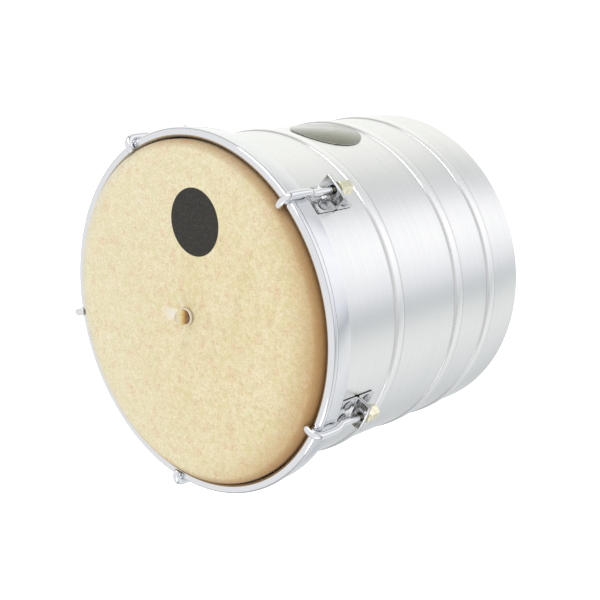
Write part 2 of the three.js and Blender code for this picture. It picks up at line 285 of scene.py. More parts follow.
# %% Waves of the hide
waves = bpy.data.textures.new("hide_waves", "CLOUDS")
waves.noise_scale = 0.045
on_top = weight(skin_hide, "top", lambda r, a, z: (r - 14) / 20 * (93 - r) / 14 if r < 93 else 0)
modified(skin_hide, "DISPLACE", vertex_group=on_top, texture=waves, texture_coords="LOCAL",
         direction="Z", strength=0.35 * MM, mid_level=0.5)
modified(skin_hide, "SOLIDIFY", thickness=SKIN * MM, offset=-1)
smooth(skin_hide, 60)
heights = [v.co.z / MM for v in skin_hide.data.vertices if v.co.xy.length < 0.08]
print("skin between", round(min(heights), 2), "and", round(max(heights), 2), "mm inside the rim")

# %% [markdown]
# The flesh hoop is a plain wire that the lapped skin hides. The tie is waxed thread, wound round the
# neck under the knob. A small circle carried round and up by a Screw modifier is one such winding.

# %% Flesh hoop and tie
flesh_wire = turned("flesh_wire", arc(FLESH_R, FLESH_Z, FLESH, 0, 330, 11), steps=180, angle=60)

THREAD, TURNS, PITCH = 0.42, 2, 0.74          # thread radius, and how the winding climbs
TIE_R, TIE_LOW = 4.52, BALL_Z - 3.65
tie_thread = start_piece("tie_thread", bpy.ops.mesh.primitive_circle_add, vertices=12,
                         radius=THREAD * MM, rotation=(math.pi / 2, 0, 0),
                         location=(TIE_R * MM, 0, TIE_LOW * MM))
modified(tie_thread, "SCREW", axis="Z", screw_offset=PITCH * MM, iterations=TURNS, steps=48,
         render_steps=48, use_merge_vertices=False)
bpy.ops.object.mode_set(mode="EDIT")
close_ends()
smooth(tie_thread, 60)
print("tie spans", [round(v / MM, 2) for v in tie_thread.dimensions])

# %% [markdown]
# ## The stick
# The rubbing stick is a length of cane, about 6 mm thick. Cane swells at its joints, is never quite
# straight or round, and its cut end shows the softer middle. The section is turned with the joints
# in it, and a slow noise pushes it out of true by a tenth or two of a millimetre.

# %% Stick
CANE, WAIST, STICK_LONG = 3, 1.6, 180         # radius, radius where it is tied, length
STICK_LOW = BALL_Z + BALL - STICK_LONG
CANE_JOINTS = (74, 132)                       # heights
SWELLING = [(0, -2.2), (0.12, -1.2), (0.4, -0.3), (0.2, 0.1), (0.35, 0.5), (0.08, 1.4), (0, 2.2)]
low_joint, high_joint = [[(CANE + out, z + up) for out, up in SWELLING] for z in CANE_JOINTS]
ball_arc = arc(0, BALL_Z, BALL, -90 + math.degrees(math.asin(WAIST / BALL)), 90, 10)
ball_arc[-1] = (0, BALL_Z + BALL)
cut_end = [(0, 0.5), (1.1, 0.4), (1.5, 0), (CANE - 0.5, 0), (CANE - 0.15, 0.2), (CANE, 0.6), (CANE, 4)]
taper = [(CANE, 5.5), (2.6, 4.4), (1.9, 3.1), (WAIST, 2.5)]
stick_cane = turned("stick_cane", [
    *[(r, STICK_LOW + up) for r, up in cut_end], (CANE, 45), *low_joint, (CANE, 90), (CANE, 110),
    *high_joint, (CANE, 150), (CANE, 170), *[(r, SKIN_TOP - down) for r, down in taper], *ball_arc],
    steps=48, closed=False)
bow = bpy.data.textures.new("cane_bow", "CLOUDS")
bow.noise_scale = 0.02
middle = weight(stick_cane, "middle", lambda r, a, z: (180 - z) / 12 if r > 0.5 else 0)
modified(stick_cane, "DISPLACE", vertex_group=middle, texture=bow, texture_coords="LOCAL",
         strength=0.3 * MM, mid_level=0.6)
smooth(stick_cane)

# %% [markdown]
# ## One hook
# Each hook starts as a straight rod with a thread rolled on one end. The other end is bent over the
# wire of the counterhoop and cranked inward to pass through its bracket. So a circle starts at the
# tip, is spun round the wire, drawn down, spun through the two small bends of the crank and drawn
# down again. Spin counts its angle against the axis, so the helper turns the sign round.

# %% Rod helpers
ROD = 2.3

def ring_from(name, x, z, angle, radius, sides=28):
    """An open ring in edit mode, facing along an angle from up towards outward, in degrees."""
    piece = start_piece(name, bpy.ops.mesh.primitive_circle_add, vertices=sides, radius=radius * MM,
                        location=(x * MM, 0, z * MM), rotation=(0, math.radians(angle), 0))
    bpy.ops.object.mode_set(mode="EDIT")
    bpy.ops.mesh.select_mode(type="EDGE")
    bpy.ops.mesh.select_all(action="SELECT")
    return piece

def bend(x, z, degrees, steps):
    """Spins the open ring round a point of the section, from up towards outward."""
    bpy.ops.mesh.spin(steps=steps, angle=-math.radians(degrees), center=(x * MM, 0, z * MM),
                      axis=(0, 1, 0))

def draw_on(dx, dz, x=0, z=0, grow=1):
    """Extrudes the open ring, then grows it about its new middle."""
    bpy.ops.mesh.extrude_edges_move(TRANSFORM_OT_translate={"value": (dx * MM, 0, dz * MM)})
    if grow != 1:
        bpy.ops.transform.resize(value=(grow,) * 3, center_override=(x * MM, 0, z * MM))

# %% Crook and crank
CROOK = WIRE + AIR + ROD                      # rod middle from the wire's middle
TIP = 116.5                                   # degrees from outward to the tip
TIP_ROUND = [(0.9, 1.3), (0.7, 1.85), (0.35, 2.2), (0, ROD)]  # distance back, and radius there
SHANK = 109.3                                 # rod middle from the axis, through the bracket
BOW = WIRE_R + CROOK
CRANK_TOP, CRANK_LOW = 176.5, 165.5
tip_x = WIRE_R + CROOK * math.cos(math.radians(TIP))
tip_z = WIRE_Z + CROOK * math.sin(math.radians(TIP))
along = (math.sin(math.radians(TIP)), -math.cos(math.radians(TIP)))

last, ring = TIP_ROUND[0]
hook_rod = ring_from("hook_rod", tip_x - last * along[0], tip_z - last * along[1], 180 - TIP, ring)
for back, radius in TIP_ROUND[1:]:
    x, z = tip_x - back * along[0], tip_z - back * along[1]
    draw_on((last - back) * along[0], (last - back) * along[1], x, z, radius / ring)
    last, ring = back, radius
bend(WIRE_R, WIRE_Z, TIP, 26)
draw_on(0, CRANK_TOP - WIRE_Z)

drop, shift = CRANK_TOP - CRANK_LOW, BOW - SHANK
lean = 2 * math.atan(shift / drop)
crank = drop / 2 / math.sin(lean)
bend(BOW - crank, CRANK_TOP, math.degrees(lean), 8)
bend(SHANK + crank, CRANK_LOW, -math.degrees(lean), 8)
print("crank radius", round(crank, 2), "mm, lean", round(math.degrees(lean), 1), "degrees")

# %% [markdown]
# The thread is an M5 coarse one, 0.8 mm a turn. It is drawn as rings, because a turn's slope of three
# degrees doesn't show at this size.

# %% Thread and end of the hook
THREAD_TOP, ROD_END, HALF_TURN = 150.7, 137.9, 0.4
ROOT, END = 1.98, 1.6                         # radius in the grooves, and of the rod's end
draw_on(0, THREAD_TOP - CRANK_LOW)
z, radius = THREAD_TOP, ROD
while z > ROD_END + 3 * HALF_TURN:
    z -= HALF_TURN
    target = ROOT if radius == ROD else ROD
    draw_on(0, -HALF_TURN, SHANK, z, target / radius)
    radius = target
draw_on(0, ROD_END - z, SHANK, ROD_END, END / radius)
close_ends()
smooth(hook_rod, 40)
print("hook spans", [round(v / MM, 2) for v in hook_rod.dimensions], "mm")

# %% [markdown]
# ## One bracket
# A strip of sheet is folded in half, and its two ends are bent away as flanges. A press punches one
# oversize hole through both layers, so the rod can find its own line. A line of the strip's middle is
# drawn, pulled sideways to the strip's width, and thickened. Its outer corners are rounded before
# that, and all edges are broken after it, as tumbling and plating leave them. The back of the strip
# gets a slot of its own, for a dark steel colour that paints the shade in between the folds, where
# plating hardly reaches.

# %% Bracket strip
SHEET, PLATE_Z, PLATE_OUT, WIDE = 1.1, 150.0, 113.0, 17.0
FLANGE, SLIT, BEND, HOLE = 14, 0.4, 1.35, 2.9  # height, gap in the fold, bend and hole radius
flange_x = 101.66 + SHEET / 2                 # the flanges lie on flat facets of the model's shell
layer = SLIT / 2 + SHEET / 2                  # middle of a layer from the middle of the slit
bend_z = PLATE_Z - layer - BEND
low_half = [(flange_x, PLATE_Z - FLANGE), (flange_x, bend_z),
            *arc(flange_x + BEND, bend_z, BEND, 180, 90, 6)[1:]]
fold_x = PLATE_OUT - SHEET / 2 - layer
fold = arc(fold_x, PLATE_Z, layer, -90, 90, 8)
high_half = [(x, 2 * PLATE_Z - z) for x, z in reversed(low_half)]
bracket_strip = draw("bracket_strip", [*low_half, *fold, *high_half])
bpy.ops.mesh.select_all(action="SELECT")
bpy.ops.mesh.extrude_edges_move(TRANSFORM_OT_translate={"value": (0, WIDE * MM, 0)})
bpy.ops.mesh.select_all(action="SELECT")
bpy.ops.transform.translate(value=(0, -WIDE / 2 * MM, 0))
bpy.ops.mesh.normals_make_consistent(inside=False)
bpy.ops.object.mode_set(mode="OBJECT")

# %% Round, thicken, punch
pick(bracket_strip, lambda co: abs(abs(co.z / MM - PLATE_Z) - FLANGE) < 0.01)
bpy.ops.mesh.bevel(offset=1.4 * MM, segments=5, affect="VERTICES")
bpy.ops.object.mode_set(mode="OBJECT")
for _ in range(2):
    bracket_strip.data.materials.append(None)
modified(bracket_strip, "SOLIDIFY", thickness=SHEET * MM, offset=0, use_even_offset=True,
         material_offset=1)
cut(bracket_strip, pin("punch", HOLE, PLATE_Z - 10, PLATE_Z + 10, SHANK))
modified(bracket_strip, "BEVEL", width=0.18 * MM, segments=2, limit_method="ANGLE",
         angle_limit=math.radians(50))
smooth(bracket_strip, 30)
print("bracket spans", [round(v / MM, 2) for v in bracket_strip.dimensions], "mm")
backs = [f.center / MM for f in bracket_strip.data.polygons if f.material_index == 1]
print("back faces:", len(backs), "from the axis at least", round(min(c.x for c in backs), 2), "mm")

# %% [markdown]
# ## Rivets, washers and nuts
# Four rivets hold each bracket. Their factory heads are low domes outside, and the tails are upset
# inside the shell. A washer carries the nut over the oversize hole. The nut is a tall hex nut whose
# corners are chamfered, so a hexagonal bar is cut down to what a double cone leaves of it.

# %% Rivet
# Each point is a radius and a distance from the drum's axis, because the pin is laid down after.
rivet_pin = turned("rivet_pin", [
    (0, 98.2), (1.9, 98.2), (2.35, 98.45), (2.4, 98.8), (2.3, 99.2), (1.6, 99.3), (1.6, 103.06),
    (3.0, 103.06), (3.1, 103.2), (2.95, 103.6), (2.55, 104), (1.9, 104.28), (1.0, 104.43),
    (0, 104.46)], steps=32, closed=False)
rivet_pin.rotation_euler = (0, math.pi / 2, 0)
only(rivet_pin)
bpy.ops.object.transform_apply(rotation=True)
print("rivet lies along", [round(v / MM, 2) for v in rivet_pin.dimensions])

# %% Washer
EYE, WASHER, WASHER_LOW, WASHER_TOP, NIP = 2.6, 4.5, 147.4, 148.4, 0.15
washer_ring = turned("washer_ring", [
    (EYE, WASHER_LOW + NIP), (EYE + NIP, WASHER_LOW), (WASHER - NIP, WASHER_LOW),
    (WASHER, WASHER_LOW + NIP), (WASHER, WASHER_TOP - NIP), (WASHER - NIP, WASHER_TOP),
    (EYE + NIP, WASHER_TOP), (EYE, WASHER_TOP - NIP)], steps=64)
washer_ring.location.x = SHANK * MM
bpy.ops.object.transform_apply(location=True)
print("washer is", WASHER * 2, "mm across and", round(WASHER_TOP - WASHER_LOW, 2), "mm thick")

# %% Nut
NUT_LOW, NUT_TOP, FLATS = 139.1, 147.1, 8.0
FACE, CHAMFER, MOUTH = 3.85, 0.42, 2.9        # radius of its round face, slope height, bore's mouth
corner = FLATS / 2 / math.cos(math.radians(30))
hex_nut = pin("hex_nut", corner, NUT_LOW, NUT_TOP, 0, sides=6)
cones = turned("cones", [(0, NUT_LOW), (FACE, NUT_LOW), (corner + 0.02, NUT_LOW + CHAMFER),
                         (corner + 0.02, NUT_TOP - CHAMFER), (FACE, NUT_TOP), (0, NUT_TOP)],
               steps=96, closed=False)
cut(hex_nut, cones, "INTERSECT")
grooves = [(2.5 if i % 2 else 2.34, NUT_LOW + 0.6 + HALF_TURN * i) for i in range(18)]
bore = turned("bore", [(0, NUT_LOW - 1), (MOUTH, NUT_LOW - 1), (MOUTH, NUT_LOW + 0.1), *grooves,
                       (MOUTH, NUT_TOP - 0.1), (MOUTH, NUT_TOP + 1), (0, NUT_TOP + 1)],
              steps=48, closed=False)
cut(hex_nut, bore)
hex_nut.location.x = SHANK * MM
bpy.ops.object.transform_apply(location=True)
smooth(hex_nut, 25)
print("nut spans", [round(v / MM, 2) for v in hex_nut.dimensions], "mm")

# %% [markdown]
# ## The round plate
# A thin round foil is glued to the shell, and bends with it. A slice of a slightly larger cylinder
# has the bend already, and a round cutter leaves the plate. It carries nothing at all.

# %% Slice of the foil
FOIL_Z, FOIL_R, FOIL, FOIL_AT = 92.0, 22.2, 0.5, 259  # height, radius, thickness, degrees from +X
SLICE, SLICE_WIDE = 24, 28                    # half its height in mm, and its width in degrees
foot = RADIUS + AIR
bottom, top, front = FOIL_Z - SLICE, FOIL_Z + SLICE, foot + FOIL
round_plate = draw("round_plate", [(foot, bottom), (front, bottom), (front, top), (foot, top),
                                   (foot, bottom)])
bpy.ops.mesh.select_all(action="SELECT")
bpy.ops.mesh.remove_doubles(threshold=TINY)
bpy.ops.mesh.spin(steps=28, angle=math.radians(SLICE_WIDE), center=(0, 0, 0), axis=(0, 0, 1))
close_ends()
only(round_plate)
sideways, ahead = (sum(v.co[i] for v in round_plate.data.vertices) for i in (1, 0))
round_plate.rotation_euler.z = -math.atan2(sideways, ahead)
bpy.ops.object.transform_apply(rotation=True)

# %% Round plate
cutter = start_piece("cutter", bpy.ops.mesh.primitive_cylinder_add, vertices=120, radius=1,
                     depth=0.02, rotation=(0, math.pi / 2, 0))
cutter.scale = (1, foot * math.sin(FOIL_R / RADIUS) * MM, FOIL_R * MM)
cutter.location = (foot * MM, 0, FOIL_Z * MM)
cut(round_plate, cutter, "INTERSECT")
modified(round_plate, "BEVEL", width=0.15 * MM, segments=2, limit_method="ANGLE",
         angle_limit=math.radians(50))
round_plate.rotation_euler.z = math.radians(FOIL_AT)
bpy.ops.object.transform_apply(rotation=True)
smooth(round_plate, 30)
print("plate spans", [round(v / MM, 2) for v in round_plate.dimensions], "mm")

# %% [markdown]
# ## Colour and node helpers
# Paint codes are written as sRGB hex values, the way a picture shows them, and the shader wants
# linear light. One function turns them over, and one adds a node with its settings and links. A
# finish is then built up like paint, from a ground colour and the coats that lie over parts of it.

# %% Helpers for finishes
def linear(code):
    """Linear colour from an sRGB hex code."""
    shares = [int(code[i:i + 2], 16) / 255 for i in (1, 3, 5)]
    return [s / 12.92 if s <= 0.04045 else ((s + 0.055) / 1.055) ** 2.4 for s in shares] + [1.0]

def add(tree, kind, inputs=None, stops=(), **settings):
    """Adds a node. inputs gives a socket a value or another node's output, stops fills a ramp."""
    made = tree.nodes.new("ShaderNode" + kind)
    for name, value in settings.items():
        setattr(made, name, value)
    for socket, value in (inputs or {}).items():
        if isinstance(value, bpy.types.NodeSocket):
            tree.links.new(value, made.inputs[socket])
        else:
            made.inputs[socket].default_value = value
    if stops:
        elements = made.color_ramp.elements
        while len(elements) < len(stops):
            elements.new(0.5)
        for element, (spot, code) in zip(elements, stops):
            element.position, element.color = spot, linear(code)
    return made

# %% Start, paint and end a finish
def finish(name, **values):
    """A new material: its node tree, its shader and the Object coordinates."""
    material = bpy.data.materials.new(name)
    material.use_nodes = True
    tree = material.node_tree
    shader = tree.nodes["Principled BSDF"]
    for socket, value in values.items():
        shader.inputs[socket.replace("_", " ")].default_value = value
    return material, tree, shader, add(tree, "TexCoord").outputs["Object"]

def painted(tree, ground, *coats):
    """Lays coats over a ground colour, each as (share, colour), and gives the colour on top."""
    for share, colour in coats:
        coat = linear(colour) if isinstance(colour, str) else colour
        mixed = add(tree, "Mix", {0: share, 6: ground, 7: coat}, data_type="RGBA")
        ground = mixed.outputs[2]
    return ground

def feed(tree, shader, **sources):
    """Links the outputs that the named inputs of a shader read."""
    for socket, source in sources.items():
        tree.links.new(source, shader.inputs[socket.replace("_", " ")])
    print(len(tree.nodes), "nodes give", ", ".join(sources))

# %% [markdown]
# ## Metals
# Brushed aluminium is rubbed with grit as it turns, so its fine lines run round the drum and its
# gloss is drawn out along the axis. The lines are a noise squeezed along the axis: about 0.6 mm apart
# here, coarser than the real 0.2 mm, so that the picture can show them. A thin grey line of painted
# shade runs at both feet of each rib, and their crowns get a painted highlight.

# %% Brushed aluminium
aluminium, tree, shader, place = finish("brushed_aluminium", Metallic=1.0, Anisotropic=0.7,
                                        Anisotropic_Rotation=0.25)
squeezed = add(tree, "Mapping", {"Vector": place, "Scale": (9, 9, 1700)})
lines = add(tree, "TexNoise", {"Vector": squeezed.outputs[0], "Scale": 1.0, "Detail": 4.0,
                               "Roughness": 0.7}).outputs["Fac"]
clouded = add(tree, "TexNoise", {"Vector": place, "Scale": 28.0, "Detail": 3.0}).outputs["Fac"]
grey = add(tree, "ValToRGB", {"Fac": lines}, [(0.3, "#E6E7E7"), (0.7, "#F1F1F0")]).outputs[0]
height = add(tree, "SeparateXYZ", {0: place}).outputs["Z"]
# Above the middle of a rib, where the tint starts and where it is full, its share, its colour.
# The two grey tints are painted shade at the feet, and the white one is a painted highlight on the
# crown.
RIB_SHADE_AND_HIGHLIGHT = [(3.9, 0.9, 0.2, 0.32, "#77787A"), (-4.1, 1.2, 0.2, 0.3, "#77787A"),
             (0, 3.2, 2.2, 0.3, "#FFFFFF")]
for z in RIBS:
    for up, soft, full, most, colour in RIB_SHADE_AND_HIGHLIGHT:
        away = add(tree, "Math", {0: height, 1: (z + up) * MM}, operation="SUBTRACT").outputs[0]
        away = add(tree, "Math", {0: away}, operation="ABSOLUTE").outputs[0]
        near = add(tree, "MapRange", {"Value": away, "From Min": soft * MM, "From Max": full * MM,
                                      "To Max": most})
        grey = painted(tree, grey, (near.outputs[0], colour))
rough = add(tree, "MapRange", {"Value": clouded, "To Min": 0.25, "To Max": 0.31})
bump = add(tree, "Bump", {"Strength": 0.15, "Distance": 0.00003, "Height": lines})
feed(tree, shader, Base_Color=grey, Roughness=rough.outputs[0], Normal=bump.outputs[0])

# %% [markdown]
# Chrome plate is a mirror over whatever was under it. The wire and the hooks show the faint ripple
# of drawn steel, a few millimetres long. Sheet was rolled flat before it was pressed, so it shows
# next to none. Both have a very thin haze where hands have been. The brackets are a shade greyer, as
# nickel is, and their recesses are painted dark steel, as painted shade.

# %% Chrome plate
def plated(name, colour, ripple, dull=0):
    """Bright plate with a haze, over steel that ripples by a strength."""
    material, tree, shader, place = finish(name, Metallic=1.0, Base_Color=linear(colour))
    haze = add(tree, "TexNoise", {"Vector": place, "Scale": 120.0, "Detail": 4.0}).outputs["Fac"]
    rough = add(tree, "MapRange", {"Value": haze, "From Min": 0.35, "From Max": 0.75,
                                   "To Min": 0.06 + dull, "To Max": 0.13 + dull})
    ripples = add(tree, "TexNoise", {"Vector": place, "Scale": 260.0, "Detail": 1.0})
    bump = add(tree, "Bump", {"Strength": ripple, "Distance": 0.0001, "Height": ripples.outputs["Fac"]})
    feed(tree, shader, Roughness=rough.outputs[0], Normal=bump.outputs[0])
    return material

chrome_rod = plated("chrome_plated_drawn_steel", "#E4E5E8", 0.14)
chrome_sheet = plated("chrome_plated_sheet_steel", "#E4E5E8", 0.02)
nickel = plated("nickel_plated_steel", "#D4D5D6", 0.02, dull=0.08)
# Dark steel for the back of the strip: painted shade between the folds and under the flanges.
recess_shade = finish("painted_shade_recess", Metallic=1.0, Base_Color=linear("#3C3C3D"), Roughness=0.6)[0]

# %% [markdown]
# The nuts and washers are zinc plated and passivated, which leaves a pale yellow bloom that drifts
# from spot to spot. Rivets are plain steel, tumbled, so they are duller and darker than chrome.

# %% Zinc and steel
zinc, tree, shader, place = finish("yellow_passivated_zinc", Metallic=1.0)
bloom = add(tree, "TexNoise", {"Vector": place, "Scale": 350.0, "Detail": 4.0}).outputs["Fac"]
yellows = add(tree, "ValToRGB", {"Fac": bloom},
              [(0.35, "#F3EFD8"), (0.5, "#EBE6C9"), (0.68, "#DAD7C4")]).outputs[0]
rough = add(tree, "MapRange", {"Value": bloom, "To Min": 0.14, "To Max": 0.32})
feed(tree, shader, Base_Color=yellows, Roughness=rough.outputs[0])

steel, tree, shader, place = finish("tumbled_rivet_steel", Metallic=1.0)
scuffs = add(tree, "TexNoise", {"Vector": place, "Scale": 700.0, "Detail": 5.0}).outputs["Fac"]
greys = add(tree, "ValToRGB", {"Fac": scuffs}, [(0.35, "#A6A8AC"), (0.7, "#C6C8CC")]).outputs[0]
rough = add(tree, "MapRange", {"Value": scuffs, "To Min": 0.2, "To Max": 0.4})
bump = add(tree, "Bump", {"Strength": 0.3, "Distance": 0.00008, "Height": scuffs})
feed(tree, shader, Base_Color=greys, Roughness=rough.outputs[0], Normal=bump.outputs[0])

# %% [markdown]
# ## Goat rawhide
# A natural skin is cream, with soft blotches of fat and bone colour. It is painted lighter towards +X,
# the side the light comes from. Towards the rim on the other side it turns amber, partly the hide's
# own tone and partly painted shade, and next to the hoop on that side a brown painted shade lies over
# it, while the rim is greyer on the other side. The knob is amber too, with painted shade across it.
# The follicle grain is about half a millimetre across, and is drawn here at one to one and a half, so
# that the picture can show it. All of it reads Object coordinates, so the marks stay on the hide.

# %% Rawhide colour
BLOTCH, MOTTLE, BLUSH = 60.0, 300.0, 130.0    # marks in a metre
hide, tree, shader, place = finish("goat_rawhide", Specular_IOR_Level=0.35)
blotch = add(tree, "TexNoise", {"Vector": place, "Scale": BLOTCH, "Detail": 6.0,
                                "Roughness": 0.65}).outputs["Fac"]
slow = add(tree, "ValToRGB", {"Fac": blotch}, [(0.3, "#E9D9AA"), (0.47, "#ECDFB6"),
                                               (0.6, "#F0E6C4"), (0.75, "#EADBB4")]).outputs[0]
mottle = add(tree, "TexNoise", {"Vector": place, "Scale": MOTTLE, "Detail": 4.0,
                                "Roughness": 0.7}).outputs["Fac"]
quick = add(tree, "ValToRGB", {"Fac": mottle}, [(0.33, "#F4ECCF"), (0.46, "#F0E5C1"),
                                                (0.55, "#E4D4A8"), (0.68, "#CCBE96")]).outputs[0]
blush = add(tree, "TexNoise", {"Vector": place, "Scale": BLUSH, "Detail": 4.0}).outputs["Fac"]
pink = add(tree, "MapRange", {"Value": blush, "From Min": 0.54, "From Max": 0.7, "To Max": 0.45})
olive = add(tree, "MapRange", {"Value": blush, "From Min": 0.46, "From Max": 0.3, "To Max": 0.45})
# Lighter towards +X, the side the light comes from: painted light.
lit_side_offset = add(tree, "Mapping", {"Vector": place, "Location": (0.06, -0.015, 0), "Scale": (1, 1, 0)})
away = add(tree, "VectorMath", {0: lit_side_offset.outputs[0]}, operation="LENGTH").outputs["Value"]
painted_light_share = add(tree, "MapRange", {"Value": away, "From Min": 0.065, "From Max": 0.13, "To Max": 0.5})
cream = painted(tree, slow, (0.5, quick), (painted_light_share.outputs[0], "#F0EBD1"), (pink.outputs[0], "#EAC6A8"),
                (olive.outputs[0], "#D9D59F"))
print("marks in mm:", [round(1 / per_metre / MM, 1) for per_metre in (BLOTCH, MOTTLE, BLUSH)])

# %% Grain and follicles
GRAIN, FOLLICLES = 900.0, 620.0
grain = add(tree, "TexNoise", {"Vector": place, "Scale": GRAIN, "Detail": 3.0,
                               "Roughness": 0.7}).outputs["Fac"]
dark = add(tree, "MapRange", {"Value": grain, "From Min": 0.42, "From Max": 0.66, "To Max": 0.45})
follicles = add(tree, "TexVoronoi", {"Vector": place, "Scale": FOLLICLES, "Randomness": 1.0})
dots = add(tree, "MapRange", {"Value": follicles.outputs["Distance"], "From Min": 0.1,
                              "From Max": 0.42, "To Min": 0.45, "To Max": 0.0})
patchy = add(tree, "MapRange", {"Value": blush, "From Min": 0.4, "From Max": 0.62})
dotted = add(tree, "Math", {0: dots.outputs[0], 1: patchy.outputs[0]}, operation="MULTIPLY")
speckled = painted(tree, cream, (dark.outputs[0], "#CDB880"), (dotted.outputs[0], "#B79A66"))
print("grain in mm:", [round(1 / per_metre / MM, 1) for per_metre in (GRAIN, FOLLICLES)])

# %% Amber side, rim and lap
# Amber towards the rim away from the light: partly the hide's own tone, partly painted shade.
side = add(tree, "Mapping", {"Vector": place, "Location": (-0.024, 0.006, 0), "Scale": (1, 1, 0)})
far = add(tree, "VectorMath", {0: side.outputs[0]}, operation="LENGTH").outputs["Value"]
ragged = add(tree, "Math", {0: blotch, 1: 0.012, 2: far}, operation="MULTIPLY_ADD").outputs[0]
amber_and_shade = add(tree, "MapRange", {"Value": ragged, "From Min": 0.105, "From Max": 0.146,
                               "To Max": 0.95}, interpolation_type="SMOOTHSTEP")
level = add(tree, "Mapping", {"Vector": place, "Scale": (1, 1, 0)}).outputs[0]
outward = add(tree, "VectorMath", {0: level}, operation="LENGTH").outputs["Value"]
parts = add(tree, "SeparateXYZ", {0: place})
height = parts.outputs["Z"]
coats = [(amber_and_shade.outputs[0], "#B07C36")]
# The brown coat is painted shade at the rim on the side away from the light; the grey one makes the rim
# greyer towards +X.
# Colour, its share, the radii where it starts and is full, and the places along X.
for colour, most, start, full, x_start, x_full in (("#94693A", 0.65, 0.098, 0.1018, 0.075, 0.02),
                                                   ("#D4D2D0", 0.4, 0.094, 0.1, 0.03, 0.075)):
    rim = add(tree, "MapRange", {"Value": outward, "From Min": start, "From Max": full,
                                 "To Max": most})
    half = add(tree, "MapRange", {"Value": parts.outputs["X"], "From Min": x_start,
                                  "From Max": x_full})
    share = add(tree, "Math", {0: rim.outputs[0], 1: half.outputs[0]}, operation="MULTIPLY")
    coats.append((share.outputs[0], colour))
lap = add(tree, "MapRange", {"Value": height, "From Min": 0.1855, "From Max": 0.183})
coats.append((lap.outputs[0], "#B9B4A6"))
lapped = painted(tree, speckled, *coats)
print("amber, rim and lap take", len(coats), "coats")

# %% [markdown]
# The knob dried over the cane ball. Its golden colour carries painted shade, lighter on the lit side
# and brown on the other. The crease where the skin runs in under the tie is painted dark all round,
# as shade.

# %% Knob and crease, with painted shade
neck_low, neck_high = SKIN_TOP * MM + 0.0012, SKIN_TOP * MM + 0.0022
above = add(tree, "MapRange", {"Value": height, "From Min": neck_low, "From Max": neck_high})
within = add(tree, "MapRange", {"Value": outward, "From Min": 0.0052, "From Max": 0.0048})
knob = add(tree, "Math", {0: above.outputs[0], 1: within.outputs[0]}, operation="MULTIPLY")
# Painted shade across the knob, from lighter on the lit side to brown on the other.
slope = add(tree, "VectorMath", {0: place, 1: (-0.74, 0, -0.67)}, operation="DOT_PRODUCT")
middle_at = -0.67 * BALL_Z * MM
across = add(tree, "MapRange", {"Value": slope.outputs["Value"], "From Min": middle_at - KNOB * MM,
                                "From Max": middle_at + KNOB * MM})
knob_gold_and_shade = add(tree, "ValToRGB", {"Fac": across.outputs[0]}, [
    (0.0, "#C9BD9F"), (0.2, "#DDD2B6"), (0.43, "#E2D4A8"), (0.57, "#D8BE7C"), (0.7, "#C09554"),
    (0.8, "#93663D"), (1.0, "#765032")]).outputs[0]
smudge = add(tree, "MapRange", {"Value": mottle, "From Min": 0.5, "From Max": 0.62, "To Max": 0.45})
knob_colour_and_shade = painted(tree, knob_gold_and_shade, (smudge.outputs[0], "#A8967A"))
# Painted shade in the crease under the tie, dark all round.
close = add(tree, "MapRange", {"Value": outward, "From Min": 0.0056, "From Max": 0.0051,
                               "To Max": 0.35})
below = add(tree, "MapRange", {"Value": height, "From Min": neck_high, "From Max": neck_low})
crease_shade = add(tree, "Math", {0: close.outputs[0], 1: below.outputs[0]}, operation="MULTIPLY")
with_crease_shade = painted(tree, lapped, (knob.outputs[0], knob_colour_and_shade), (crease_shade.outputs[0], "#5E442C"))
print("knob is", round(2 * KNOB, 1), "mm across and ends", round(BALL_Z + KNOB, 1), "mm up")

# %% Pale marks and painted highlights on the pleats, and the widest one
# Light streaks on the pleats round the knob: partly the skin's own marks, partly painted highlights.
ray = add(tree, "VectorMath", {0: level}, operation="NORMALIZE").outputs[0]
rays = add(tree, "TexNoise", {"Vector": ray, "Scale": 3.4, "Detail": 2.0}).outputs["Fac"]
pleat_mark_and_highlight = add(tree, "MapRange", {"Value": rays, "From Min": 0.58, "From Max": 0.68, "To Max": 0.6})
turned_to = add(tree, "VectorMath", {0: ray, 1: (0.996, 0.087, 0)}, operation="DOT_PRODUCT")
widest_mark_and_highlight = add(tree, "MapRange", {"Value": turned_to.outputs["Value"], "From Min": 0.955,
                                "From Max": 0.995, "To Max": 0.75})
past_tie = add(tree, "MapRange", {"Value": outward, "From Min": 0.0058, "From Max": 0.0068})
with_pleat_marks_and_highlights = with_crease_shade
for strip, ends, full, colour in ((pleat_mark_and_highlight, 0.016, 0.007, "#F4EFE6"), (widest_mark_and_highlight, 0.024, 0.014, "#F1ECE3")):
    fade = add(tree, "MapRange", {"Value": outward, "From Min": ends, "From Max": full})
    share = add(tree, "Math", {0: strip.outputs[0], 1: fade.outputs[0]}, operation="MULTIPLY")
    share = add(tree, "Math", {0: share.outputs[0], 1: past_tie.outputs[0]}, operation="MULTIPLY")
    with_pleat_marks_and_highlights = painted(tree, with_pleat_marks_and_highlights, (share.outputs[0], colour))
print("gather marks end at most", ends / MM, "mm from the axis")

# %% [markdown]
# Makers often print a round mark on the skin. Here that place is a plain dark disc, with the slightly
# worn edge that ink gets on a rough hide. Ink stays on the outer face, so it stops below that height.

